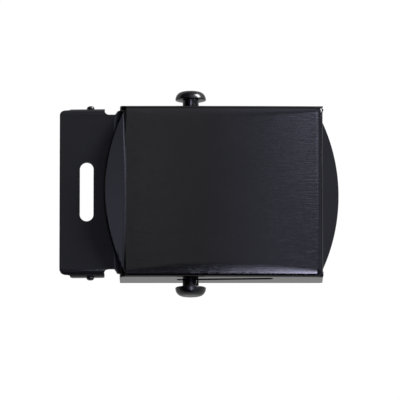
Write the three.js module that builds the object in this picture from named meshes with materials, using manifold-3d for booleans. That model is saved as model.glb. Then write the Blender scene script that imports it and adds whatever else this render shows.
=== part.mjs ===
// Web-belt buckle with a plain cover, a seat for the fixed belt end and a wedging roller bar.
// Millimetres, +Z out of the face. The buckle rests on the back edges of the cover's walls.
import * as THREE from "three";
import { mergeVertices } from "three/addons/utils/BufferGeometryUtils.js";
import Module from "manifold-3d";

const wasm = await Module();
wasm.setup();

// Overall sizes
const overallLength = 57.45;
const coverHalfWidth = 17.85;
const coverHeight = 8.7;
const sheet = 0.75;
const bendRadius = 1.0;

// Cover
const coverLength = 40.3;
const lipReach = 4.6;
const lipRise = 1.45;
const mouthRoll = 1.2;
const mouthDrop = 1.9;
const cheekReach = 1.43;
const tabWidth = 4.4;
const tabReach = 1.9;

// Frame
const plateReach = 3.35;
const plateDepth = 6.2;
const plateEndRadius = 37.5;
const seatDepth = 1.4;
const seatHalfWidth = 17.54;
const seatLength = 9.6;
const seatFlange = 2.75;
const neckHalfWidth = 16.1;
const neckLength = 2.3;
const gussetFromSeat = 1.75;
const gussetLength = 2.6;
const gussetDepth = 2.6;
const rampLength = 4.4;
const seatSlotWidth = 2.8;
const seatSlotLength = 12.3;
const seatSlotFromEnd = 5.58;

// Roller bar
const barDiameter = 3.3;
const barNeckDiameter = 1.85;
const barFromMouth = 27.15;
const barDepth = 4.2;
const trackSlope = 3.9;
const travelBack = 1.85;
const travelOut = 16.0;
const knobDiameter = 6.3;
const knobHeight = 1.8;
const knobGap = 1.72;
const tenonLength = 1.1;

// Belt clamp
const clampSheet = 0.65;
const hingeFromEnd = 6.35;
const hingeDrop = 1.9;
const pinDiameter = 1.2;
const pinHeadDiameter = 1.6;
const pinHeadHeight = 0.7;
const jawGap = 0.7;
const jawReach = 3.25;
const jawBarWidth = 3.1;
const teeth = 12;
const toothHeight = 0.65;

// Clearances
const sideGap = 0.1;
const slotGap = 0.075;
const turnGap = 0.05;
const stakeGap = 0.02;
const hubGap = 0.15;

// Edges shorter than this are merged after the boolean steps
const tidyLength = 0.006;

// Positions that follow from the sizes
const endX = overallLength / 2;
const mouthX = endX - plateReach;
const creaseX = mouthX - coverLength;
const seatX = -endX;
const seatZ = coverHeight - seatDepth;
const plateZ = coverHeight - plateDepth;
const wallInner = coverHalfWidth - sheet;
const frameHalf = wallInner - sideGap;
const barX = mouthX - barFromMouth;
const barZ = coverHeight - barDepth;
const hingeX = seatX + hingeFromEnd;
const hingeZ = seatZ - hingeDrop;
const slope = (trackSlope * Math.PI) / 180;

function solidOf(geometry) {
  const bare = geometry.clone();
  bare.deleteAttribute("normal");
  bare.deleteAttribute("uv");
  const merged = mergeVertices(bare, 1e-5);
  return new wasm.Manifold(
    new wasm.Mesh({
      numProp: 3,
      vertProperties: new Float32Array(merged.attributes.position.array),
      triVerts: new Uint32Array(merged.index.array),
    }),
  );
}

function block(x0, x1, y0, y1, z0, z1) {
  const g = new THREE.BoxGeometry(x1 - x0, y1 - y0, z1 - z0);
  g.translate((x0 + x1) / 2, (y0 + y1) / 2, (z0 + z1) / 2);
  return solidOf(g);
}

function shapeOf(points) {
  return new THREE.Shape(points.map(([a, b]) => new THREE.Vector2(a, b)));
}

// A flat outline in X and Y, made solid from z0 to z1
function planSolid(shape, z0, z1, curveSegments = 24) {
  const g = new THREE.ExtrudeGeometry(shape, { depth: z1 - z0, bevelEnabled: false, curveSegments });
  g.translate(0, 0, z0);
  return solidOf(g);
}

// An outline in X and Z, made solid from y0 to y1
function sideSolid(shape, y0, y1, curveSegments = 24) {
  const g = new THREE.ExtrudeGeometry(shape, { depth: y1 - y0, bevelEnabled: false, curveSegments });
  g.rotateX(Math.PI / 2);
  g.translate(0, y1, 0);
  return solidOf(g);
}

// An outline in Y and Z, made solid from x0 to x1
function crossSolid(shape, x0, x1, curveSegments = 8) {
  const g = new THREE.ExtrudeGeometry(shape, { depth: x1 - x0, bevelEnabled: false, curveSegments });
  g.rotateX(Math.PI / 2);
  g.rotateZ(Math.PI / 2);
  g.translate(x0, 0, 0);
  return solidOf(g);
}

// A round bar along Y
function rodY(x, z, radius, y0, y1, sides = 40) {
  const g = new THREE.CylinderGeometry(radius, radius, y1 - y0, sides);
  g.translate(x, (y0 + y1) / 2, z);
  return solidOf(g);
}

// Inverted channel: web on top at height top, flanges down to low, rounded outside and inside
function channelShape(half, top, low, outer) {
  const inner = outer - sheet;
  const s = new THREE.Shape();
  s.moveTo(-half, low);
  s.lineTo(-half, top - outer);
  s.absarc(-half + outer, top - outer, outer, Math.PI, Math.PI / 2, true);
  s.lineTo(half - outer, top);
  s.absarc(half - outer, top - outer, outer, Math.PI / 2, 0, true);
  s.lineTo(half, low);
  s.lineTo(half - sheet, low);
  s.lineTo(half - sheet, top - outer);
  s.absarc(half - outer, top - outer, inner, 0, Math.PI / 2, false);
  s.lineTo(-half + outer, top - sheet);
  s.absarc(-half + outer, top - outer, inner, Math.PI / 2, Math.PI, false);
  s.lineTo(-half + sheet, low);
  s.closePath();
  return s;
}

// Slanted slot for the necks of the bar, cut through both sides
function trackCutter(gap) {
  const r = barNeckDiameter / 2 + gap;
  const a = new THREE.Vector2(-travelBack - 0.03, 0);
  const b = new THREE.Vector2(travelOut + 0.03, 0);
  const s = new THREE.Shape();
  s.moveTo(a.x, -r);
  s.lineTo(b.x, -r);
  s.absarc(b.x, 0, r, -Math.PI / 2, Math.PI / 2, false);
  s.lineTo(a.x, r);
  s.absarc(a.x, 0, r, Math.PI / 2, (3 * Math.PI) / 2, false);
  const reach = coverHalfWidth + 1;
  const g = new THREE.ExtrudeGeometry(s, { depth: 2 * reach, bevelEnabled: false, curveSegments: 20 });
  g.rotateX(Math.PI / 2);
  g.translate(0, reach, 0);
  g.rotateY(-slope);
  g.translate(barX, 0, barZ);
  return solidOf(g);
}

// Lip at the left end of the face, a segment of a disc turned up about the crease
function exitLip() {
  const half = coverHalfWidth - bendRadius * 0.35;
  const radius = (half * half + lipReach * lipReach) / (2 * lipReach);
  const angle = Math.asin(half / radius);
  const s = new THREE.Shape();
  s.moveTo(0.3, half);
  s.lineTo(0, half);
  s.absarc(radius - lipReach, 0, radius, Math.PI - angle, Math.PI + angle, false);
  s.lineTo(0.3, -half);
  s.closePath();
  const g = new THREE.ExtrudeGeometry(s, { depth: sheet, bevelEnabled: false, curveSegments: 48 });
  g.translate(0, 0, -sheet);
  g.rotateY(Math.asin(lipRise / lipReach));
  g.translate(creaseX, 0, coverHeight);
  return solidOf(g);
}

// Tab folded in from a wall, under the frame's plate
function foldedTab(x, side) {
  const top = plateZ - sheet - sideGap;
  const y0 = wallInner - tabReach;
  const y1 = coverHalfWidth - 0.1;
  const tab = side > 0 ? [y0, y1] : [-y1, -y0];
  return block(x - tabWidth / 2, x + tabWidth / 2, tab[0], tab[1], top - sheet, top);
}

// Rounded block with a flat base, the outside of the pressed pan
function archShape(half, top, low, radius) {
  const s = new THREE.Shape();
  s.moveTo(-half, low);
  s.lineTo(-half, top - radius);
  s.absarc(-half + radius, top - radius, radius, Math.PI, Math.PI / 2, true);
  s.lineTo(half - radius, top);
  s.absarc(half - radius, top - radius, radius, Math.PI / 2, 0, true);
  s.lineTo(half, low);
  s.closePath();
  return s;
}

// Side view of the pan, with slanted cheeks at the left and the mouth edge rolled down at the right
function panOutside() {
  const left = creaseX - cheekReach;
  const s = new THREE.Shape();
  s.moveTo(left, 0);
  s.lineTo(mouthX - 0.7, 0);
  s.absarc(mouthX - 0.7, 0.7, 0.7, -Math.PI / 2, 0, false);
  s.lineTo(mouthX, coverHeight - mouthRoll);
  s.absarc(mouthX - mouthRoll, coverHeight - mouthRoll, mouthRoll, 0, Math.PI / 2, false);
  s.lineTo(creaseX - 0.25, coverHeight);
  s.lineTo(left + 0.25, coverHeight - 0.7);
  s.lineTo(left, coverHeight - 1.5);
  s.closePath();
  const arch = archShape(coverHalfWidth, coverHeight, -1, bendRadius);
  const long = crossSolid(arch, left - 1, mouthX + 1);
  return long.intersect(sideSolid(s, -coverHalfWidth - 1, coverHalfWidth + 1, 8));
}

function panInside() {
  const left = creaseX - cheekReach - 1;
  const top = coverHeight - sheet;
  const r = mouthRoll - sheet;
  const s = new THREE.Shape();
  s.moveTo(left, -2);
  s.lineTo(mouthX - sheet, -2);
  s.lineTo(mouthX - sheet, coverHeight - mouthRoll);
  s.absarc(mouthX - mouthRoll, coverHeight - mouthRoll, r, 0, Math.PI / 2, false);
  s.lineTo(left, top);
  s.closePath();
  const arch = archShape(wallInner, top, -3, bendRadius - sheet);
  const long = crossSolid(arch, left - 1, mouthX + 1, 4);
  return long.intersect(sideSolid(s, -wallInner - 1, wallInner + 1, 6));
}

function cover() {
  const left = creaseX - cheekReach - 2;
  let body = panOutside().subtract(panInside());
  body = body.subtract(block(left, creaseX, -wallInner, wallInner, coverHeight - 3, coverHeight + 1));
  body = body.subtract(block(mouthX - 3, mouthX + 1, -wallInner, wallInner, -3, coverHeight - mouthDrop));
  body = body.add(exitLip());
  const spots = [creaseX + coverLength * 0.2, creaseX + coverLength * 0.8];
  for (const x of spots) body = body.add(foldedTab(x, 1)).add(foldedTab(x, -1));
  return body.subtract(trackCutter(slotGap));
}

// Side view of the frame: seat, neck, ramp and plate in one bent sheet
function frameSide() {
  const bendX = seatX + seatLength + neckLength;
  const footX = bendX + rampLength;
  const fall = seatZ - plateZ;
  const run = Math.hypot(rampLength, fall);
  const nx = (sheet * fall) / run;
  const shift = (sheet * (run - rampLength)) / fall;
  const s = new THREE.Shape();
  s.moveTo(seatX, seatZ);
  s.lineTo(bendX - 0.8, seatZ);
  s.quadraticCurveTo(bendX, seatZ, bendX + 0.8 * (rampLength / run), seatZ - 0.8 * (fall / run));
  s.lineTo(footX - 0.8 * (rampLength / run), plateZ + 0.8 * (fall / run));
  s.quadraticCurveTo(footX, plateZ, footX + 0.8, plateZ);
  s.lineTo(endX, plateZ);
  s.lineTo(endX, plateZ - sheet);
  s.lineTo(footX + 0.5 - shift, plateZ - sheet);
  s.quadraticCurveTo(
    footX - shift,
    plateZ - sheet,
    footX - shift - 0.5 * (rampLength / run),
    plateZ - sheet + 0.5 * (fall / run),
  );
  s.lineTo(bendX - nx + 0.2, seatZ - sheet - 0.25);
  s.quadraticCurveTo(bendX - shift, seatZ - sheet, bendX - shift - 0.6, seatZ - sheet);
  s.lineTo(seatX, seatZ - sheet);
  s.closePath();
  return sideSolid(s, -coverHalfWidth, coverHalfWidth, 8);
}

// Top view of the neck, ramp and plate, with the round end
function frameOutline() {
  const neckX = seatX + seatLength - 0.6;
  const wideX = seatX + seatLength + neckLength + 0.4;
  const angle = Math.asin(frameHalf / plateEndRadius);
  const s = new THREE.Shape();
  s.moveTo(neckX, -neckHalfWidth);
  s.lineTo(wideX, -neckHalfWidth);
  s.lineTo(wideX + 0.6, -frameHalf);
  s.lineTo(endX - plateEndRadius + plateEndRadius * Math.cos(angle), -frameHalf);
  s.absarc(endX - plateEndRadius, 0, plateEndRadius, -angle, angle, false);
  s.lineTo(wideX + 0.6, frameHalf);
  s.lineTo(wideX, neckHalfWidth);
  s.lineTo(neckX, neckHalfWidth);
  s.closePath();
  return planSolid(s, -1, coverHeight, 48);
}

// Seat: plate with rounded sides turned down into short flanges
function seat() {
  const low = seatZ - seatFlange;
  const right = seatX + seatLength;
  let body = crossSolid(channelShape(seatHalfWidth, seatZ, low, bendRadius), seatX, right);
  const flangeX = seatX + 2.25;
  const front = shapeOf([
    [seatX - 1, low - 1],
    [flangeX + 0.6, low - 1],
    [flangeX, low + 0.7],
    [flangeX - 0.7, seatZ - bendRadius - 0.1],
    [seatX - 1, seatZ - bendRadius - 0.1],
  ]);
  body = body.subtract(sideSolid(front, -coverHalfWidth, coverHalfWidth));
  for (const side of [1, -1]) {
    const corner = shapeOf([
      [seatX - 1, side * (seatHalfWidth - 1.6)],
      [seatX, side * (seatHalfWidth - 1.6)],
      [seatX + 0.22, side * (seatHalfWidth - 0.78)],
      [seatX + 0.8, side * (seatHalfWidth - 0.2)],
      [seatX + 1.9, side * (seatHalfWidth + 0.3)],
      [seatX - 1, side * (seatHalfWidth + 0.3)],
    ]);
    body = body.subtract(planSolid(corner, 0, coverHeight + 1));
  }
  return body;
}

// Turned-down sides where the neck widens to go in under the cover
function gussets() {
  const x0 = seatX + seatLength + gussetFromSeat;
  const low = seatZ - gussetDepth;
  const slant = shapeOf([
    [x0 - 1, low - 1],
    [x0 + 0.9, low - 1],
    [x0 + 0.9, low],
    [x0, seatZ - 0.3],
    [x0, seatZ + 1],
    [x0 - 1, seatZ + 1],
  ]);
  const sides = crossSolid(channelShape(frameHalf, seatZ, low, bendRadius), x0, x0 + gussetLength);
  return sides.subtract(sideSolid(slant, -coverHalfWidth, coverHalfWidth));
}

// Oblong slot through the seat
function seatSlot() {
  const x = seatX + seatSlotFromEnd;
  const r = seatSlotWidth / 2;
  const y = seatSlotLength / 2 - r;
  const s = new THREE.Shape();
  s.moveTo(x - r, -y);
  s.absarc(x, -y, r, Math.PI, 2 * Math.PI, false);
  s.lineTo(x + r, y);
  s.absarc(x, y, r, 0, Math.PI, false);
  s.closePath();
  return planSolid(s, 0, coverHeight + 1, 16);
}

// Side of the frame that stands inside a wall of the cover
function frameSideWall(side) {
  const x0 = seatX + seatLength + neckLength + rampLength + 0.3;
  const x1 = mouthX - 2.6;
  const top = coverHeight - sheet - sideGap;
  const s = shapeOf([
    [x0, plateZ - sheet + 0.05],
    [x1, plateZ - sheet + 0.05],
    [x1, top - 1.2],
    [x1 - 1.2, top],
    [x0 + 1.2, top],
    [x0, top - 1.2],
  ]);
  const y0 = side > 0 ? frameHalf - sheet : -frameHalf;
  return sideSolid(s, y0, y0 + sheet);
}

function frame() {
  let body = frameSide().intersect(frameOutline());
  body = body.add(seat()).add(gussets());
  body = body.add(frameSideWall(1)).add(frameSideWall(-1));
  body = body.subtract(seatSlot());
  const reach = seatHalfWidth + 1;
  body = body.subtract(rodY(hingeX, hingeZ, pinDiameter / 2 + stakeGap, -reach, reach, 24));
  return body.subtract(trackCutter(slotGap + 0.02));
}

function bar() {
  const half = frameHalf - sheet - hubGap;
  const reach = coverHalfWidth + knobGap + tenonLength;
  const body = rodY(barX, barZ, barDiameter / 2, -half, half);
  return body.add(rodY(barX, barZ, barNeckDiameter / 2, -reach, reach, 32));
}

// Domed knob with a round hub, bored for the neck of the bar
function knob(side) {
  const r = knobDiameter / 2;
  const bore = barNeckDiameter / 2 + stakeGap;
  const hub = knobGap + 0.01 - hubGap;
  const rim = 0.2;
  const profile = [];
  profile.push(new THREE.Vector2(bore, -hub));
  profile.push(new THREE.Vector2(barDiameter / 2, -hub));
  profile.push(new THREE.Vector2(barDiameter / 2, 0));
  profile.push(new THREE.Vector2(r - 0.15, 0));
  profile.push(new THREE.Vector2(r, 0.15));
  profile.push(new THREE.Vector2(r, rim));
  const steps = 12;
  for (let i = 1; i <= steps; i++) {
    const a = (i / steps) * (Math.PI / 2);
    profile.push(new THREE.Vector2(i === steps ? 0 : r * Math.cos(a), rim + (knobHeight - rim) * Math.sin(a)));
  }
  profile.push(new THREE.Vector2(0, tenonLength + 0.1));
  profile.push(new THREE.Vector2(bore, tenonLength + 0.1));
  profile.push(new THREE.Vector2(bore, -hub));
  const g = new THREE.LatheGeometry(profile, 40);
  if (side < 0) g.rotateX(Math.PI);
  g.translate(barX, side * (coverHalfWidth + knobGap + 0.01), barZ);
  return solidOf(g);
}

// Short pin with a domed head outside the seat's flange
function hingePin(side) {
  const r = pinHeadDiameter / 2;
  const shank = seatHalfWidth - (seatHalfWidth - sheet - sideGap - clampSheet) + 0.02;
  const profile = [];
  profile.push(new THREE.Vector2(0, -shank));
  profile.push(new THREE.Vector2(pinDiameter / 2, -shank));
  profile.push(new THREE.Vector2(pinDiameter / 2, 0.02));
  profile.push(new THREE.Vector2(r, 0.02));
  const steps = 8;
  for (let i = 0; i <= steps; i++) {
    const a = (i / steps) * (Math.PI / 2);
    const x = i === steps ? 0 : r * Math.cos(a);
    profile.push(new THREE.Vector2(x, 0.1 + (pinHeadHeight - 0.1) * Math.sin(a)));
  }
  const g = new THREE.LatheGeometry(profile, 28);
  if (side < 0) g.rotateX(Math.PI);
  g.translate(hingeX, side * seatHalfWidth, hingeZ);
  return solidOf(g);
}

// Side arm of the clamp, rounded about the hinge
function clampArm(side, barZ0, barX0) {
  const outer = seatHalfWidth - sheet - sideGap;
  const r = hingeDrop - sheet - 0.2;
  const s = new THREE.Shape();
  s.moveTo(hingeX, hingeZ - r);
  s.absarc(hingeX, hingeZ, r, -Math.PI / 2, Math.PI / 2, false);
  s.lineTo(barX0 + 1, barZ0 + clampSheet + 0.35);
  s.lineTo(barX0, barZ0 + clampSheet);
  s.lineTo(barX0, barZ0);
  s.closePath();
  const y0 = side > 0 ? outer - clampSheet : -outer;
  return sideSolid(s, y0, y0 + clampSheet, 10);
}

// Row of teeth that presses the belt end against the seat
function toothedEdge(x, low, tip, half) {
  const pitch = (2 * half) / teeth;
  const s = new THREE.Shape();
  s.moveTo(-half, low);
  s.lineTo(half, low);
  for (let i = 0; i < teeth; i++) {
    const y = half - i * pitch;
    s.lineTo(y, tip - toothHeight);
    s.lineTo(y - pitch / 2, tip);
  }
  s.lineTo(-half, tip - toothHeight);
  s.closePath();
  return crossSolid(s, x - clampSheet, x);
}

function clamp() {
  const tip = seatZ - sheet - jawGap;
  const top = tip - toothHeight;
  const low = top - clampSheet;
  const jawX = hingeX - jawReach + clampSheet / 2;
  const barX0 = jawX - jawBarWidth;
  const half = seatHalfWidth - sheet - sideGap;
  let body = block(barX0, jawX, -half, half, low, top);
  body = body.add(toothedEdge(jawX, low + 0.05, tip, half - clampSheet - 0.6));
  body = body.add(clampArm(1, low, barX0 + 0.3)).add(clampArm(-1, low, barX0 + 0.3));
  const hole = rodY(hingeX, hingeZ, pinDiameter / 2 + turnGap, -half - 1, half + 1, 24);
  return body.subtract(hole);
}

function meshOf(name, solid, colour, roughness, metalness) {
  const made = solid.simplify(tidyLength).getMesh();
  const g = new THREE.BufferGeometry();
  const xyz = new Float32Array(made.numVert * 3);
  for (let i = 0; i < made.numVert; i++) {
    xyz.set(made.vertProperties.subarray(i * made.numProp, i * made.numProp + 3), i * 3);
  }
  g.setAttribute("position", new THREE.BufferAttribute(xyz, 3));
  g.setIndex(new THREE.BufferAttribute(new Uint32Array(made.triVerts), 1));
  g.computeVertexNormals();
  const material = new THREE.MeshStandardMaterial({ color: colour, roughness, metalness });
  const mesh = new THREE.Mesh(g, material);
  mesh.name = name;
  return mesh;
}

const group = new THREE.Group();
group.name = "belt_buckle";
group.add(meshOf("front_cover", cover(), 0x2a2a2d, 0.25, 0.6));
group.add(meshOf("inner_frame", frame(), 0x27272a, 0.3, 0.6));
group.add(meshOf("roller_bar", bar(), 0x303034, 0.25, 0.8));
group.add(meshOf("knob_upper", knob(1), 0x2c2c30, 0.2, 0.8));
group.add(meshOf("knob_lower", knob(-1), 0x2c2c30, 0.2, 0.8));
group.add(meshOf("belt_clamp", clamp(), 0x303033, 0.35, 0.7));
group.add(meshOf("hinge_pin_upper", hingePin(1), 0x38383c, 0.3, 0.8));
group.add(meshOf("hinge_pin_lower", hingePin(-1), 0x38383c, 0.3, 0.8));

export default group;
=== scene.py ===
import bpy
import math
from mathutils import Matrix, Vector


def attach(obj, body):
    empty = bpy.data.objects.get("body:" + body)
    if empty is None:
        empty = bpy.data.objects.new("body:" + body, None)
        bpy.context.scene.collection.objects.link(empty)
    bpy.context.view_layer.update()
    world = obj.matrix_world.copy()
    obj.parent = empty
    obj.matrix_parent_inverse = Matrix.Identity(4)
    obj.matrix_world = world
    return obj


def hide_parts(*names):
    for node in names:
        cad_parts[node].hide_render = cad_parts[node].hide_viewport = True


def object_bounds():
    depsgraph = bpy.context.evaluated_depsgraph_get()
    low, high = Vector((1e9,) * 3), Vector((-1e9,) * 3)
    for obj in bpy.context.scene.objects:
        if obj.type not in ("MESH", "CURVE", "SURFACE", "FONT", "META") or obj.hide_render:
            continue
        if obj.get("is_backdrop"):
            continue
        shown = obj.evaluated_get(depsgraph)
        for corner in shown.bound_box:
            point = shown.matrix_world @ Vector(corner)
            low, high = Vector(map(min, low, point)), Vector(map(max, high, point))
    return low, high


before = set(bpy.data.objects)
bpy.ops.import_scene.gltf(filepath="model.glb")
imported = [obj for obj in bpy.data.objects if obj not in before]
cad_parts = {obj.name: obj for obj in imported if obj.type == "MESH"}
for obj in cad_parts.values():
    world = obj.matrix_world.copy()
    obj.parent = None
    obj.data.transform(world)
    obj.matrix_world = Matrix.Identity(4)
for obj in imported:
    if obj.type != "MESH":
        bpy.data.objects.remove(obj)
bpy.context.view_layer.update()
mm = 0.001


def clearSelection():
    if bpy.context.object and bpy.context.object.mode != "OBJECT":
        bpy.ops.object.mode_set(mode="OBJECT")
    bpy.ops.object.select_all(action="DESELECT")


def pick(obj):
    clearSelection()
    obj.select_set(True)
    bpy.context.view_layer.objects.active = obj


def settle(obj):  # puts place, turn and scale into the mesh
    pick(obj)
    bpy.ops.object.transform_apply(location=True, rotation=True, scale=True)


def applyModifier(obj, kind, **values):
    pick(obj)
    m = obj.modifiers.new(kind.lower(), kind)
    for key, value in values.items():
        setattr(m, key, value)
    bpy.ops.object.modifier_apply(modifier=m.name)


def pulledPlate(name, outline, low, high):  # a filled ring pulled to an outline, then extruded; sizes in mm
    clearSelection()
    bpy.ops.mesh.primitive_circle_add(
        vertices=len(outline), radius=0.01, fill_type="NGON", location=(0, 0, 0))
    obj = bpy.context.object
    obj.name = name
    obj.data.name = name
    for v, (a, b) in zip(obj.data.vertices, outline):
        v.co = (a * mm, b * mm, low * mm)
    bpy.ops.object.mode_set(mode="EDIT")
    bpy.ops.mesh.select_all(action="SELECT")
    bpy.ops.mesh.extrude_region_move(TRANSFORM_OT_translate={"value": (0, 0, (high - low) * mm)})
    bpy.ops.mesh.select_all(action="SELECT")
    bpy.ops.mesh.normals_make_consistent(inside=False)
    bpy.ops.object.mode_set(mode="OBJECT")
    return obj


def sliceAt(obj, axis, places):  # cuts the whole mesh at planes across X or Y, in mm
    pick(obj)
    bpy.ops.object.mode_set(mode="EDIT")
    normal = (1, 0, 0) if axis == "x" else (0, 1, 0)
    for spot in places:
        bpy.ops.mesh.select_all(action="SELECT")
        point = tuple(spot * mm * n for n in normal)
        bpy.ops.mesh.bisect(
            plane_co=point, plane_no=normal, use_fill=False,
            clear_inner=False, clear_outer=False, threshold=1e-7)
    bpy.ops.object.mode_set(mode="OBJECT")


def cutAway(obj, cutter):
    pick(obj)
    m = obj.modifiers.new("cut", "BOOLEAN")
    m.operation = "DIFFERENCE"
    m.solver = "EXACT"
    m.object = cutter
    bpy.ops.object.modifier_apply(modifier=m.name)
    bpy.data.objects.remove(cutter)


def joinOn(obj, other):
    pick(obj)
    m = obj.modifiers.new("weld", "BOOLEAN")
    m.operation = "UNION"
    m.solver = "EXACT"
    m.object = other
    bpy.ops.object.modifier_apply(modifier=m.name)
    bpy.data.objects.remove(other)


def breakEdges(obj, width, segments=2, angle=40):
    applyModifier(
        obj, "BEVEL", width=width * mm, segments=segments, limit_method="ANGLE",
        angle_limit=math.radians(angle), use_clamp_overlap=True, miter_outer="MITER_ARC")


def finishSurface(obj, angle=32):
    pick(obj)
    bpy.ops.object.mode_set(mode="EDIT")
    bpy.ops.mesh.select_all(action="SELECT")
    bpy.ops.mesh.remove_doubles(threshold=0.002 * mm)
    bpy.ops.mesh.select_all(action="SELECT")
    bpy.ops.mesh.normals_make_consistent(inside=False)
    bpy.ops.object.mode_set(mode="OBJECT")
    pick(obj)
    bpy.ops.object.shade_smooth_by_angle(angle=math.radians(angle))
    applyModifier(obj, "WEIGHTED_NORMAL", mode="FACE_AREA", weight=50, keep_sharp=True)


def arc(cx, cy, radius, start, end, steps):
    turn = math.radians(end - start)
    begin = math.radians(start)
    angles = [begin + turn * i / steps for i in range(steps + 1)]
    return [(cx + radius * math.cos(a), cy + radius * math.sin(a)) for a in angles]


def spread(a, b, count):
    return [a + (b - a) * i / count for i in range(count + 1)]


def smoothStep(a, b, v):
    f = max(0, min(1, (v - a) / (b - a)))
    return f * f * (3 - 2 * f)


def bendRun(run, radius, limit):  # along and up a sheet that bends and then runs straight
    turn = min(run / radius, limit)
    rest = max(0, run - radius * limit)
    along = radius * math.sin(turn) + rest * math.cos(limit)
    up = radius * (1 - math.cos(turn)) + rest * math.sin(limit)
    return along, up, turn


# a press bends a flat blank; no operator rolls a cut sheet about several lines, so the vertices are moved
def fold(obj, rule):
    for v in obj.data.vertices:
        v.co = Vector(rule(v.co.x / mm, v.co.y / mm, v.co.z / mm)) * mm
    obj.data.update()


def turned(name, profile, centre, steps=96):  # profile of (distance along Y, radius), spun about Y
    clearSelection()
    bpy.ops.mesh.primitive_circle_add(
        vertices=len(profile), radius=0.01, fill_type="NOTHING", location=(0, 0, 0))
    obj = bpy.context.object
    obj.name = name
    obj.data.name = name
    for v, (y, r) in zip(obj.data.vertices, profile):
        v.co = (r * mm, y * mm, 0)
    bpy.ops.object.mode_set(mode="EDIT")
    bpy.ops.mesh.select_all(action="SELECT")
    bpy.ops.mesh.spin(steps=steps, angle=2 * math.pi, center=(0, 0, 0), axis=(0, 1, 0))
    bpy.ops.mesh.select_all(action="SELECT")
    bpy.ops.mesh.remove_doubles(threshold=0.003 * mm)
    bpy.ops.mesh.select_all(action="SELECT")
    bpy.ops.mesh.normals_make_consistent(inside=False)
    bpy.ops.object.mode_set(mode="OBJECT")
    obj.location = [c * mm for c in centre]
    settle(obj)
    return obj


roller = {
    "x": -1.775, "z": 4.5, "slope": 3.9, "travelBack": 1.88, "travelOut": 16.03,
    "radius": 1.65, "knurlDepth": 0.07, "flutes": 52, "knurlHalf": 15.3, "collarEnd": 16.08,
    "neckRadius": 0.925, "neckEnd": 20.6, "slotGap": 0.075,
    "knobRadius": 3.15, "knobHeight": 1.8, "knobFlat": 1.3, "knobFrom": 19.58, "knobRim": 0.09,
    "hubFrom": 18.0, "hubRadius": 1.65,
}


def trackPlan(lineOf, radius, shiftX=0):  # outline of the slanted slot on a flat blank
    r = roller
    slope = math.radians(r["slope"])
    ends = []
    for run, start in ((r["travelOut"], -90), (-r["travelBack"], 90)):
        cx = r["x"] + run * math.cos(slope)
        cz = r["z"] + run * math.sin(slope)
        for px, pz in arc(0, 0, radius, start, start + 180, 18):
            rx = px * math.cos(slope) - pz * math.sin(slope)
            rz = px * math.sin(slope) + pz * math.cos(slope)
            ends.append((cx + rx + shiftX, lineOf(cz + rz)))
    return ends


cover = {
    "halfWidth": 17.85, "length": 40.3, "crease": -14.925, "sheet": 0.75, "height": 8.7,
    "tightBend": 1.0, "wall": 7.7, "wallEase": 1.0,
    "shoulderTilt": 9.0, "shoulderMid": 2.2, "shoulderEnd": 0.5, "shoulderFrom": 14.6,
    "crownRadius": 540.0, "crownCentre": -0.9, "crownLift": 0.2, "crossCrown": 1400.0,
    "lipHalf": 17.45, "lipReach": 4.52, "lipTilt": 18.4, "lipCrown": 420.0,
    "creaseBend": 2.4, "creaseShift": 0.1,
    "mouthEase": 4.2, "mouthEaseTurn": 16.0, "mouthBend": 0.55, "mouthLeg": 1.15,
    "cheek": 1.43, "lugHalf": 2.2, "lugTop": 1.65, "lugInner": 15.2,
    "edgeBreak": 0.11,
}
shoulderTurn = math.radians(cover["shoulderTilt"])
# runs across the flat blank, from the middle to the tight bend, to its end and to the edge of the wall
cover["shoulderTo"] = cover["halfWidth"] - cover["tightBend"] * (1 - math.sin(shoulderTurn))
cover["bendTo"] = cover["shoulderTo"] + cover["tightBend"] * (math.pi / 2 - shoulderTurn)
cover["mouth"] = cover["crease"] + cover["length"]
cover["middle"] = cover["crease"] + cover["length"] / 2
cover["wallEnd"] = cover["bendTo"] + cover["wall"]
cover["rollReach"] = 1.556  # how far from the mouth the edge starts to turn down


def coverShoulder(x):
    c = cover
    reach = max(-1, min(1, 2 * (x - c["middle"]) / c["length"]))
    return c["shoulderEnd"] + (c["shoulderMid"] - c["shoulderEnd"]) * (1 - reach * reach)


def coverSection(x, across):  # outer surface of the folded section: y, z and the turn of its normal
    c = cover
    side = -1 if across < 0 else 1
    t = abs(across)
    tilt, r, crown = shoulderTurn, c["tightBend"], c["crossCrown"]
    width = coverShoulder(x)
    flat = c["shoulderTo"] - width
    lean = flat / crown
    rho = width / (tilt - lean)
    top = c["height"] + c["crownLift"] - (x - c["crownCentre"]) ** 2 / (2 * c["crownRadius"])
    if t <= flat:
        return side * t, top + (flat * flat - t * t) / (2 * crown), side * t / crown
    if t <= c["shoulderTo"]:
        turn = lean + (t - flat) / rho
        y = flat + rho * (math.sin(turn) - math.sin(lean))
        return side * y, top - rho * (math.cos(lean) - math.cos(turn)), side * turn
    y = flat + rho * (math.sin(tilt) - math.sin(lean))
    z = top - rho * (math.cos(lean) - math.cos(tilt))
    turn = min(math.pi / 2, tilt + (t - c["shoulderTo"]) / r)
    y += r * (math.sin(turn) - math.sin(tilt))
    z -= r * (math.cos(tilt) - math.cos(turn))
    if t > c["bendTo"]:  # the wall keeps its height, and only its top millimetre takes up the crown
        z = c["wallEnd"] - t + (z - c["wall"]) * max(0, 1 - (t - c["bendTo"]) / c["wallEase"])
    return side * y, z, side * turn


def mouthRun(run, limit):  # along and down the edge of the mouth: an easy turn, then a tight one
    c = cover
    ease, tight = c["mouthEase"], c["mouthBend"]
    a = min(run / ease, math.radians(c["mouthEaseTurn"]), limit)
    rest = run - ease * a
    b = min(rest / tight, limit - a) if rest > 1e-9 else 0
    rest -= tight * b
    along = ease * math.sin(a) + tight * (math.sin(a + b) - math.sin(a)) + rest * math.cos(a + b)
    down = ease * (1 - math.cos(a)) + tight * (math.cos(a) - math.cos(a + b)) + rest * math.sin(a + b)
    return along, down, a + b


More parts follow.
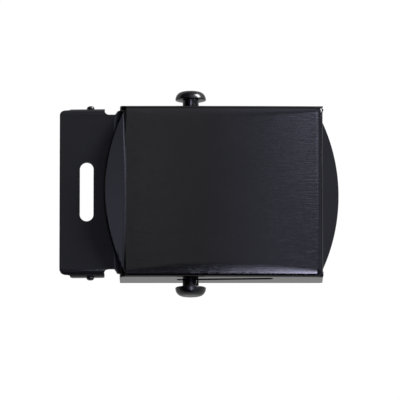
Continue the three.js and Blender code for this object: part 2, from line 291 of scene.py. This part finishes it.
def foldCover(x, across, h):
    c = cover
    t = abs(across)
    side = -1 if across < 0 else 1
    rollStart = c["mouth"] - c["rollReach"]
    inRoll = x > rollStart and t < c["bendTo"]
    y, z, lean = coverSection(min(x, rollStart) if inRoll else x, across)
    ny, nz = math.sin(lean), math.cos(lean)
    turn = (x - c["crownCentre"]) / c["crownRadius"] * nz
    if inRoll:  # the edge is rolled down, fading out round the corner into the wall
        limit = math.pi / 2 * (1 - smoothStep(c["shoulderTo"] - 0.5, c["bendTo"] - 0.1, t))
        along, down, turn = mouthRun(x - rollStart, limit)
        x = rollStart + along
        y -= down * ny
        z -= down * nz
    bendStart = c["crease"] + c["creaseShift"]
    # the lip is turned up and its ends come out of the side bend
    if x < bendStart and t < c["lipHalf"] + 0.05:
        flat = smoothStep(0, 0.9, c["crease"] - x)
        zLip = coverSection(x, 0)[1] - t * t / (2 * c["lipCrown"])
        y += (side * t - y) * flat
        z += (zLip - z) * flat
        ny += (side * t / c["lipCrown"] - ny) * flat
        nz += (1 - nz) * flat
        hold = 1 - smoothStep(c["shoulderTo"], c["lipHalf"] + 0.3, t) * (1 - flat)
        along, up, turn = bendRun(bendStart - x, c["creaseBend"], math.radians(c["lipTilt"]))
        x = x + hold * ((bendStart - x) - along)
        z += up * hold
        turn *= hold
    nx = math.sin(turn) if inRoll else nz * math.sin(turn)
    ny = ny * math.cos(turn) if inRoll else ny
    nz = nz * math.cos(turn)
    return x + h * nx, y + h * ny, z + h * nz


def coverHalfOutline():  # lower half, from the tip of the lip round to the mouth
    c = cover
    left, mouth, wallEnd = c["crease"], c["mouth"], c["wallEnd"]
    radius = (c["lipHalf"] ** 2 + c["lipReach"] ** 2) / (2 * c["lipReach"])
    half = math.degrees(math.asin(c["lipHalf"] / radius))
    points = arc(left - c["lipReach"] + radius, 0, radius, 180, 180 + half, 40)
    points += [(left + 0.02, -c["lipHalf"] - 0.1), (left - 0.3, -17.85)]  # notch under the end of the lip
    points += [(left - 0.8, -18.15), (left - 1.2, -18.6)]
    points += [(left - 1.39, -19.15), (left - c["cheek"], -19.75), (left - c["cheek"], -wallEnd + 0.35)]
    points += arc(left - c["cheek"] + 0.35, -wallEnd + 0.35, 0.35, 180, 270, 5)[1:]
    points += arc(mouth - 0.7, -wallEnd + 0.7, 0.7, 270, 360, 8)
    easeTurn = math.radians(c["mouthEaseTurn"])
    rollEnd = mouth - c["rollReach"] + c["mouthEase"] * easeTurn
    rollEnd = rollEnd + c["mouthBend"] * (math.pi / 2 - easeTurn) + c["mouthLeg"]
    near, far = c["shoulderTo"], c["bendTo"]
    points += [(mouth, -far - 0.3), (mouth + 0.02, -far + 0.1), (mouth + 0.1, -far + 0.5)]
    points += [(mouth + 0.28, -near - 0.5), (mouth + 0.6, -near - 0.1), (mouth + 1.0, -near + 0.25)]
    points += [(rollEnd - 0.12, -near + 0.6), (rollEnd, -near + 1.0)]
    return points


def makeCover():
    c = cover
    lower = coverHalfOutline()
    upper = [(a, -b) for a, b in reversed(lower[1:])]
    obj = pulledPlate("frontCover", lower + upper, -c["sheet"], 0)
    a, b, d = c["shoulderFrom"], c["shoulderTo"], c["bendTo"]
    lines = spread(0, a, 6)[1:] + spread(a, b, 14)[1:] + spread(b, d, 12)[1:] + [d + c["wallEase"]]
    sliceAt(obj, "y", [0] + lines + [-v for v in lines])
    bendStart = c["crease"] + c["creaseShift"]
    rollStart = c["mouth"] - c["rollReach"]
    easeTurn = math.radians(c["mouthEaseTurn"])
    tightStart = rollStart + c["mouthEase"] * easeTurn
    bendEnd = bendStart - c["creaseBend"] * math.radians(c["lipTilt"])
    tightEnd = tightStart + c["mouthBend"] * (math.pi / 2 - easeTurn)
    xs = [bendStart - run for run in (3.0, 2.0, 1.5, 1.25, 1.05, 0.9)]
    xs += spread(bendEnd, bendStart, 10) + spread(bendStart, rollStart, 48)[1:]
    xs += spread(rollStart, tightStart, 5)[1:] + spread(tightStart, tightEnd, 9)[1:]
    sliceAt(obj, "x", xs)
    slotRadius = roller["neckRadius"] + roller["slotGap"]
    for side in (1, -1):  # slanted track for the roller, in the flat wall
        wallLine = lambda z: side * (c["wallEnd"] - z)
        cutAway(obj, pulledPlate("trackCut", trackPlan(wallLine, slotRadius), -2, 1))
    breakEdges(obj, c["edgeBreak"], 2)
    fold(obj, foldCover)
    for share in (0.2, 0.8):  # lugs inside the walls that hold the frame in
        mid = c["crease"] + c["length"] * share
        for side in (1, -1):
            near, far = side * c["lugInner"], side * (c["halfWidth"] - 0.3)
            low, high = mid - c["lugHalf"], mid + c["lugHalf"]
            plan = [(low, far), (low, near + side * 0.5)]
            plan += [(low + 0.15, near + side * 0.15), (low + 0.5, near)]
            plan += [(high - 0.5, near), (high - 0.15, near + side * 0.15)]
            plan += [(high, near + side * 0.5), (high, far)]
            joinOn(obj, pulledPlate("lug", plan, c["lugTop"] - c["sheet"], c["lugTop"]))
    finishSurface(obj, 34)
    return obj


innerFrame = {
    "left": -28.725, "right": 28.725, "seatTop": 7.3, "sheet": 0.75, "plateTop": 2.5,
    "seatHalf": 17.54, "seatBend": 1.7, "seatTo": -19.0, "seatLean": 3.0, "leanFrom": -19.4,
    "flange": 1.05, "flangeFrom": -26.45, "flangeTo": -19.5, "edgeHalf": 17.45, "corner": 1.5,
    "neckHalf": 16.1, "widenFrom": -17.3, "widenHalf": 17.0, "widenTo": -13.5,
    "rampFrom": -17.6, "rampRadius": 2.2, "rampTurn": 55.0, "footRadius": 1.5,
    "plateHalf": 17.0, "plateFlat": 16.0, "plateBend": 0.25,
    "sideTop": 7.85, "sideFrom": -12.1, "sideTo": 22.775, "slotExtra": 0.02,
    "endRadius": 37.5, "slotX": -23.145, "slotHalf": 1.4, "slotLength": 12.3,
    "edgeBreak": 0.11,
}


def framePath(s):  # top surface of the sheet along X: x, z and how far it leans down
    f = innerFrame
    limit = math.radians(f["rampTurn"])
    fall = f["seatTop"] - f["plateTop"]
    bendDrop = (f["rampRadius"] + f["footRadius"]) * (1 - math.cos(limit))
    straight = (fall - bendDrop) / math.sin(limit)
    s1 = f["rampRadius"] * limit
    s2 = s1 + straight
    s3 = s2 + f["footRadius"] * limit
    run = s - f["rampFrom"]
    if run <= 0:
        return s, f["seatTop"], 0
    if run <= s1:
        turn = run / f["rampRadius"]
        x = f["rampFrom"] + f["rampRadius"] * math.sin(turn)
        return x, f["seatTop"] - f["rampRadius"] * (1 - math.cos(turn)), turn
    x1 = f["rampFrom"] + f["rampRadius"] * math.sin(limit)
    z1 = f["seatTop"] - f["rampRadius"] * (1 - math.cos(limit))
    if run <= s2:
        return x1 + (run - s1) * math.cos(limit), z1 - (run - s1) * math.sin(limit), limit
    x2 = x1 + straight * math.cos(limit)
    if run <= s3:
        turn = limit - (run - s2) / f["footRadius"]
        x = x2 + f["footRadius"] * (math.sin(limit) - math.sin(turn))
        return x, f["plateTop"] + f["footRadius"] * (1 - math.cos(turn)), turn
    return x2 + f["footRadius"] * math.sin(limit) + run - s3, f["plateTop"], 0


def frameShift():  # how much longer the flat blank is than the bent frame at the plate
    far = 40  # any run well past the ramp
    return far - framePath(far)[0]


def foldFrame(s, across, h):
    f = innerFrame
    side = -1 if across < 0 else 1
    t = abs(across)
    shift = frameShift()
    y, drop, ny, nz = t, 0, 0, 1
    onSeat = s < f["seatTo"]
    onSides = f["sideFrom"] + shift - 0.1 < s < f["sideTo"] + shift + 0.1
    if onSeat:
        flat = f["seatHalf"] - f["seatBend"]
        if t > flat:
            along, down, turn = bendRun(t - flat, f["seatBend"], math.pi / 2)
            y, drop, ny, nz = flat + along, -down, math.sin(turn), math.cos(turn)
    elif onSides and t > f["plateFlat"]:
        along, up, turn = bendRun(t - f["plateFlat"], f["plateBend"], math.pi / 2)
        y, drop, ny, nz = f["plateFlat"] + along, up, -math.sin(turn), math.cos(turn)
    x, z, lean = framePath(s)
    depth = drop + h * nz
    z -= max(0, f["leanFrom"] - x) * math.tan(math.radians(f["seatLean"]))
    return x + depth * math.sin(lean), side * (y + h * ny), z + depth * math.cos(lean)


def frameHalfOutline():
    f = innerFrame
    shift = frameShift()
    left, corner, edge = f["left"], f["corner"], f["edgeHalf"]
    bendEnd = f["seatHalf"] - f["seatBend"] + f["seatBend"] * math.pi / 2
    flangeEnd = bendEnd + f["flange"]
    start, stop = f["flangeFrom"], f["flangeTo"]
    points = [(left, 0)] + arc(left + corner, -edge + corner, corner, 180, 262, 10)
    points += [(start - 0.45, -edge - 0.02), (start - 0.12, -edge - 0.25), (start, -bendEnd - 0.2)]  # flange
    points += [(start + 0.25, -flangeEnd + 0.35), (start + 0.6, -flangeEnd)]
    points += [(stop - 0.5, -flangeEnd), (stop - 0.1, -flangeEnd + 0.2)]
    points += [(stop + 0.06, -flangeEnd + 0.7), (stop + 0.02, -bendEnd + 0.05)]
    points += arc(stop + 0.95, -f["neckHalf"] - 0.95, 0.95, 180, 90, 8)
    w = f["widenFrom"]
    points += [(w - 0.1, -f["neckHalf"]), (w + 0.1, -f["neckHalf"] - 0.1)]
    points += [(w + 0.75, -f["widenHalf"] + 0.12), (w + 0.95, -f["widenHalf"])]
    points += [(f["widenTo"], -f["widenHalf"]), (f["widenTo"] + 0.3, -f["plateFlat"])]
    sideTop = f["plateFlat"] + f["plateBend"] * math.pi / 2 + f["sideTop"] - f["plateTop"] - f["plateBend"]
    a, b = f["sideFrom"] + shift, f["sideTo"] + shift
    base = f["plateFlat"]
    points += [(a - 0.4, -base + 0.12), (a, -base + 0.25), (a + 0.1, -base - 0.2)]  # standing side
    points += [(a + 0.1, -sideTop + 1.2), (a + 1.3, -sideTop), (b - 1.3, -sideTop)]
    points += [(b - 0.1, -sideTop + 1.2), (b - 0.1, -base - 0.2), (b, -base + 0.1), (b + 0.35, -base + 0.1)]
    points += [(b + 0.5, -f["plateHalf"] + 0.2), (b + 0.7, -f["plateHalf"])]
    centre = f["right"] + shift - f["endRadius"]
    half = math.degrees(math.asin(f["plateHalf"] / f["endRadius"]))
    points += arc(centre, 0, f["endRadius"], -half, 0, 36)
    return points


def makeFrame():
    f = innerFrame
    lower = frameHalfOutline()
    upper = [(a, -b) for a, b in reversed(lower[1:-1])]
    obj = pulledPlate("innerFrame", lower + upper, -f["sheet"], 0)
    seatFlat = f["seatHalf"] - f["seatBend"]
    quarter = f["seatBend"] * math.pi / 2
    lines = [6, 12] + spread(seatFlat, seatFlat + quarter, 12)
    lines += spread(f["plateFlat"], f["plateFlat"] + f["plateBend"] * math.pi / 2, 6)[1:]
    lines = sorted(set(round(v, 4) for v in lines))
    sliceAt(obj, "y", [0] + lines + [-v for v in lines])
    arcEnd = f["rampFrom"] + f["rampRadius"] * math.radians(f["rampTurn"])
    footEnd = f["sideFrom"] + frameShift() - 0.3
    sliceAt(obj, "x", spread(f["rampFrom"], arcEnd, 22) + spread(footEnd - 2.6, footEnd, 12))
    slotEnd = f["slotLength"] / 2 - f["slotHalf"]
    slot = arc(f["slotX"], slotEnd, f["slotHalf"], 0, 180, 20)
    slot += arc(f["slotX"], -slotEnd, f["slotHalf"], 180, 360, 20)
    cutAway(obj, pulledPlate("slotCut", slot, -2, 1))
    sideBase = f["plateFlat"] + f["plateBend"] * math.pi / 2 - f["plateTop"] - f["plateBend"]
    slotRadius = roller["neckRadius"] + roller["slotGap"] + f["slotExtra"]
    for side in (1, -1):
        sideLine = lambda z: side * (sideBase + z)
        cutAway(obj, pulledPlate("trackCut", trackPlan(sideLine, slotRadius, frameShift()), -2, 1))
    breakEdges(obj, f["edgeBreak"], 2)
    fold(obj, foldFrame)
    finishSurface(obj, 34)
    return obj


def makeRollerBar():
    r = roller
    half = r["knurlHalf"]
    count = r["flutes"] * 2
    ring = []
    for i in range(count):
        radius = r["radius"] - (r["knurlDepth"] if i % 2 else 0)
        ring.append((radius * math.cos(2 * math.pi * i / count), radius * math.sin(2 * math.pi * i / count)))
    obj = pulledPlate("rollerBar", ring, -half, half)
    for v in obj.data.vertices:
        v.co = (v.co.x, v.co.z, -v.co.y)
    for side in (1, -1):
        rim = r["radius"] - 0.05
        collar, neck, end = r["collarEnd"], r["neckRadius"], r["neckEnd"]
        body = [(half - 0.2, 0), (half - 0.2, rim), (collar - 0.12, rim), (collar, rim - 0.12)]
        body += [(collar, neck + 0.1), (collar + 0.1, neck), (end - 0.1, neck), (end, neck - 0.1), (end, 0)]
        joinOn(obj, turned("barEnd", [(side * a, b) for a, b in body], (0, 0, 0), 64))
    obj.location = (r["x"] * mm, 0, r["z"] * mm)
    settle(obj)
    finishSurface(obj, 30)
    return obj


def makeKnob(name, side):
    r = roller
    radius, height, hub, rim = r["knobRadius"], r["knobHeight"], r["hubRadius"], r["knobRim"]
    start = r["hubFrom"] - r["knobFrom"]
    profile = [(start, 0), (start, hub - 0.12), (start + 0.04, hub - 0.04), (start + 0.12, hub)]
    profile += [(-0.2, hub), (-0.09, hub + 0.03), (-0.02, hub + 0.1), (0, hub + 0.22)]
    for a in [math.radians(v) for v in spread(0, 90, 5)]:
        profile.append((rim - rim * math.cos(a), radius - rim + rim * math.sin(a)))
    flat = r["knobFlat"]
    for i in range(1, 33):  # domed top
        a = math.pi / 2 * i / 32
        fall = max(0, math.cos(a)) ** 0.8
        profile.append((rim + (height - 0.14) * math.sin(a), flat + (radius - flat) * fall))
    profile += [(height - 0.03, flat * 0.7), (height - 0.01, flat * 0.4), (height, 0)]
    obj = turned(name, [(side * (y + r["knobFrom"]), b) for y, b in profile], (r["x"], 0, r["z"]), 112)
    finishSurface(obj, 40)
    return obj


pin = {"x": -22.375, "z": 5.4, "shank": 0.6, "head": 0.8, "height": 0.66, "from": 17.54, "inner": 16.02}


def makePin(name, side):
    p = pin
    inner, shank, start = p["inner"], p["shank"], p["from"]
    profile = [(inner, 0), (inner, shank - 0.06), (inner + 0.06, shank)]
    profile += [(start + 0.02, shank), (start + 0.02, p["head"] - 0.03)]
    for i in range(17):  # domed head
        a = math.pi / 2 * i / 16
        rise = math.sin(a) ** 0.85
        fall = max(0, math.cos(a)) ** 0.85
        profile.append((start + 0.08 + (p["height"] - 0.08) * rise, p["head"] * fall))
    obj = turned(name, [(side * y, b) for y, b in profile], (p["x"], 0, p["z"]), 48)
    finishSurface(obj, 40)
    return obj


def makeClamp():  # the CAD clamp's own mesh with its stamped edges broken
    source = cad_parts["belt_clamp"]
    obj = source.copy()
    obj.data = source.data.copy()
    obj.name = "beltClamp"
    obj.data.name = "beltClamp"
    bpy.context.scene.collection.objects.link(obj)
    pick(obj)
    bpy.ops.object.mode_set(mode="EDIT")
    bpy.ops.mesh.select_all(action="SELECT")
    bpy.ops.mesh.remove_doubles(threshold=0.004 * mm)
    bpy.ops.mesh.dissolve_limited(angle_limit=math.radians(1))
    bpy.ops.object.mode_set(mode="OBJECT")
    breakEdges(obj, 0.07, 2, 35)
    finishSurface(obj, 34)
    return obj


def linearColour(hexText):
    text = hexText.lstrip("#")
    parts = [int(text[i:i + 2], 16) / 255 for i in (0, 2, 4)]
    return [p / 12.92 if p <= 0.04045 else ((p + 0.055) / 1.055) ** 2.4 for p in parts] + [1.0]


def addNode(tree, kind, settings=None, links=None):
    node = tree.nodes.new(kind)
    for key, value in (settings or {}).items():
        if isinstance(key, int) or key in node.inputs:
            node.inputs[key].default_value = value
        else:
            setattr(node, key, value)
    for key, source in (links or {}).items():
        tree.links.new(source, node.inputs[key])
    return node


lacquer = {  # sizes in mm
    "colour": "#0a0a0b", "roughness": 0.09, "grainPitch": 0.18, "grainLength": 5.0, "grainDepth": 0.011,
    "peelSize": 1.8, "peelDepth": 0.0006, "handlingSize": 9.0,
}


def glossLacquer(name, along, depth, roughness, colour=lacquer["colour"], shine=0.5):
    m = bpy.data.materials.new(name)
    m.use_nodes = True
    tree = m.node_tree
    shader = tree.nodes["Principled BSDF"]
    shader.inputs["Base Color"].default_value = linearColour(colour)
    shader.inputs["Specular IOR Level"].default_value = shine
    shader.inputs["IOR"].default_value = 1.5
    where = addNode(tree, "ShaderNodeTexCoord")
    pitch, length = 1000 / lacquer["grainPitch"], 1000 / lacquer["grainLength"]
    scales = [length if a else pitch for a in along]
    place = {"Vector": where.outputs["Object"]}
    grainMap = addNode(tree, "ShaderNodeMapping", {"Scale": scales}, place)
    grain = addNode(
        tree, "ShaderNodeTexNoise", {"Scale": 1.0, "Detail": 3.0, "Roughness": 0.55},
        {"Vector": grainMap.outputs["Vector"]})
    peel = addNode(tree, "ShaderNodeTexNoise", {"Scale": 1000 / lacquer["peelSize"], "Detail": 1.0}, place)
    handlingScale = 1000 / lacquer["handlingSize"]
    handling = addNode(
        tree, "ShaderNodeTexNoise", {"Scale": handlingScale, "Detail": 4.0, "Roughness": 0.6}, place)
    rough = addNode(
        tree, "ShaderNodeMapRange",
        {"From Min": 0.3, "From Max": 0.7, "To Min": roughness - 0.02, "To Max": roughness + 0.03},
        {"Value": handling.outputs["Fac"]})
    tree.links.new(rough.outputs["Result"], shader.inputs["Roughness"])
    grainBump = addNode(
        tree, "ShaderNodeBump", {"Strength": depth, "Distance": lacquer["grainDepth"] * mm},
        {"Height": grain.outputs["Fac"]})
    peelBump = addNode(
        tree, "ShaderNodeBump", {"Strength": 1.0, "Distance": lacquer["peelDepth"] * mm},
        {"Height": peel.outputs["Fac"], "Normal": grainBump.outputs["Normal"]})
    tree.links.new(peelBump.outputs["Normal"], shader.inputs["Normal"])
    return m


def dress(obj, material, body, node):
    obj.data.materials.clear()
    obj.data.materials.append(material)
    for polygon in obj.data.polygons:
        polygon.material_index = 0
    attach(obj, body)
    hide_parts(node)
    print(obj.name, "made with", len(obj.data.polygons), "faces")


# stoved gloss black over brushed sheet: mirror-like black, the brushing just showing along the buckle
sheetFinish = glossLacquer("gloss black lacquer on brushed steel sheet", (1, 0, 0), 1.0, lacquer["roughness"])
# thinner satin black over rolled sheet: a grey-black that takes the cover's shadow softly
frameFinish = glossLacquer("satin black lacquer on rolled steel sheet", (1, 0, 0), 0.6, 0.22, "#1a1a1c", 0.2)
# gloss black over turned steel: soft round highlights, fine rings about the turning axis
turnedFinish = glossLacquer("gloss black lacquer on turned steel", (1, 0, 1), 0.5, 0.27)
# satin black over stamped steel: dull edges on the teeth
clampFinish = glossLacquer("satin black lacquer on stamped steel", (0, 1, 0), 1.0, 0.26)

dress(makeCover(), sheetFinish, "case", "front_cover")
dress(makeFrame(), frameFinish, "case", "inner_frame")
dress(makeRollerBar(), turnedFinish, "roller", "roller_bar")
dress(makeKnob("knobUpper", 1), turnedFinish, "roller", "knob_upper")
dress(makeKnob("knobLower", -1), turnedFinish, "roller", "knob_lower")
dress(makePin("hingePinUpper", 1), turnedFinish, "case", "hinge_pin_upper")
dress(makePin("hingePinLower", -1), turnedFinish, "case", "hinge_pin_lower")
dress(makeClamp(), clampFinish, "clamp", "belt_clamp")

clearSelection()
bpy.ops.mesh.primitive_plane_add(size=6.0, location=(0, 0, -0.0002))
floor = bpy.context.object
floor.name = "floor"
sheetGlow = bpy.data.materials.new("opal acrylic light table")
sheetGlow.use_nodes = True
glow = sheetGlow.node_tree.nodes["Principled BSDF"]
glow.inputs["Base Color"].default_value = linearColour("#202020")
glow.inputs["Roughness"].default_value = 0.9
glow.inputs["Specular IOR Level"].default_value = 0.0
glow.inputs["Emission Color"].default_value = (1, 1, 1, 1)
rays = addNode(sheetGlow.node_tree, "ShaderNodeLightPath")
# reflected more dimly than it is seen
glowPower = addNode(
    sheetGlow.node_tree, "ShaderNodeMapRange", {"To Min": 0.52, "To Max": 1.0},
    {"Value": rays.outputs["Is Camera Ray"]})
sheetGlow.node_tree.links.new(glowPower.outputs["Result"], glow.inputs["Emission Strength"])
floor.data.materials.append(sheetGlow)
floor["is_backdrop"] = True
print("floor placed")

# light tent round the object, as the slopes of a direction from straight up:
# across is to the right, ahead is away from the camera
tent = {
    "across": [
        (-2.0, 0.05), (-0.6, 0.05), (-0.12, 0.05), (-0.075, 0.42), (-0.045, 0.63), (-0.03, 0.63),
        (-0.013, 0.53), (0.0, 0.17), (0.013, 0.36), (0.035, 0.6), (0.05, 0.74), (0.067, 0.82),
        (0.09, 0.82), (0.13, 0.74), (0.4, 0.6), (0.75, 0.74), (1.0, 0.5), (1.5, 0.2), (3.0, 0.1),
    ],
    "front": [(-2.0, 0.02), (-0.3, 0.03), (0.0, 0.06), (0.06, 0.17), (0.1, 0.5), (0.15, 0.97), (0.3, 1.05)],
    "backLeft": [(0.176, 1.0), (0.6, 1.3), (1.0, 1.1), (1.6, 0.4), (3.0, 0.2)],
    "backRight": [
        (0.19, 0.97), (0.26, 0.62), (0.32, 0.52), (0.42, 0.9),
        (0.6, 1.5), (1.0, 1.2), (1.6, 0.4), (2.5, 0.2),
    ],
}
# brighter panels of the tent: power, then each soft edge as slope, dark side, bright side
panels = {
    "front box": (28.0, [
        ("slant", 0.036, 0.084), ("across", 0.19, 0.13), ("toFront", -0.12, 0.33), ("toFront", 1.0, 0.72)]),
    "lip glow": (0.35, [("toFront", -0.3, 0.0), ("across", 0.4, 0.6)]),
    "back strip": (5.0, [
        ("across", 0.08, 0.11), ("across", 0.4, 0.3), ("ahead", 0.215, 0.24), ("ahead", 0.31, 0.26)]),
}

world = bpy.data.worlds.new("light tent")
bpy.context.scene.world = world
world.use_nodes = True
sky = world.node_tree
direction = addNode(sky, "ShaderNodeTexCoord")
parts = addNode(sky, "ShaderNodeSeparateXYZ", {}, {0: direction.outputs["Generated"]})
height = addNode(sky, "ShaderNodeMath", {"operation": "MAXIMUM", 1: 0.08}, {0: parts.outputs["Z"]})
slopes = {}
for key, side in (("across", "X"), ("ahead", "Y")):
    slope = addNode(
        sky, "ShaderNodeMath", {"operation": "DIVIDE"}, {0: parts.outputs[side], 1: height.outputs[0]})
    slopes[key] = slope.outputs[0]
toFront = addNode(sky, "ShaderNodeMath", {"operation": "MULTIPLY", 1: -1.0}, {0: slopes["ahead"]})
slopes["toFront"] = toFront.outputs[0]
slant = addNode(
    sky, "ShaderNodeMath", {"operation": "MULTIPLY_ADD", 1: 0.05}, {0: slopes["ahead"], 2: slopes["across"]})
slopes["slant"] = slant.outputs[0]
curves = {}
for key, rows in tent.items():
    low, high = rows[0][0], rows[-1][0]
    source = slopes["across" if key == "across" else "ahead"]
    scaled = addNode(sky, "ShaderNodeMapRange", {"From Min": low, "From Max": high}, {"Value": source})
    curve = addNode(sky, "ShaderNodeFloatCurve", {}, {"Value": scaled.outputs["Result"]})
    mapping = curve.mapping
    mapping.clip_max_y = 10
    mapping.use_clip = False
    points = mapping.curves[0].points
    while len(points) < len(rows):
        points.new(0.5, 0.5)
    for point, (a, b) in zip(points, rows):
        point.location = ((a - low) / (high - low), b)
        point.handle_type = "AUTO_CLAMPED"
    mapping.update()
    curves[key] = curve.outputs["Value"]
toRight = addNode(
    sky, "ShaderNodeMapRange", {"interpolation_type": "SMOOTHSTEP", "From Min": 0.0, "From Max": 0.06},
    {"Value": slopes["across"]}).outputs["Result"]
backs = addNode(
    sky, "ShaderNodeMix", {"data_type": "FLOAT"},
    {0: toRight, 2: curves["backLeft"], 3: curves["backRight"]}).outputs[0]
total = curves["across"]
for factor in (curves["front"], backs):
    total = addNode(sky, "ShaderNodeMath", {"operation": "MULTIPLY"}, {0: total, 1: factor}).outputs[0]
for power, edges in panels.values():
    panel = None
    for slope, dark, bright in edges:
        edge = addNode(
            sky, "ShaderNodeMapRange",
            {"interpolation_type": "SMOOTHSTEP", "From Min": dark, "From Max": bright},
            {"Value": slopes[slope]}).outputs["Result"]
        sources = {0: edge} if panel is None else {0: edge, 1: panel}
        panel = addNode(sky, "ShaderNodeMath", {"operation": "MULTIPLY", 1: power}, sources).outputs[0]
    total = addNode(sky, "ShaderNodeMath", {"operation": "ADD"}, {0: total, 1: panel}).outputs[0]
tint = addNode(
    sky, "ShaderNodeMix", {"data_type": "RGBA", 6: linearColour("#f8f8fa"), 7: linearColour("#dedfff")},
    {0: toRight})
sky.links.new(total, sky.nodes["Background"].inputs["Strength"])
sky.links.new(tint.outputs[2], sky.nodes["Background"].inputs["Color"])
print("light tent made with", len(panels), "panels")

keyLight = {"from": (0.98, 0.74, 0.52), "width": 0.8, "height": 0.5, "power": 50.0}
clearSelection()
bpy.ops.object.light_add(type="AREA", location=keyLight["from"])
softbox = bpy.context.object
softbox.name = "softbox"
softbox.rotation_euler = Vector(keyLight["from"]).to_track_quat("Z", "Y").to_euler()
softbox.data.shape = "RECTANGLE"
softbox.data.size = keyLight["width"]
softbox.data.size_y = keyLight["height"]
softbox.data.energy = keyLight["power"]
softbox.data.color = (0.95, 0.96, 1.0)
print("softbox placed")

cameraSet = {  # metres, with the sensor in mm
    "elevation": 80, "distance": 1.5, "aim": (0.00015, -0.0020, 0.0087), "viewWidth": 0.0821, "sensor": 36,
}
camData = bpy.data.cameras.new("camera")
camera = bpy.data.objects.new("camera", camData)
bpy.context.scene.collection.objects.link(camera)
elevation = math.radians(cameraSet["elevation"])
toCamera = Vector((0, -math.cos(elevation), math.sin(elevation)))
camera.location = Vector(cameraSet["aim"]) + toCamera * cameraSet["distance"]
camera.rotation_euler = (-toCamera).to_track_quat("-Z", "Y").to_euler()
camData.sensor_width = cameraSet["sensor"]
camData.lens = cameraSet["sensor"] * cameraSet["distance"] / cameraSet["viewWidth"]
camData.clip_start = 0.01
camData.clip_end = 20
bpy.context.scene.camera = camera
bpy.context.scene.view_settings.view_transform = "Standard"
print("camera placed")

low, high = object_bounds()
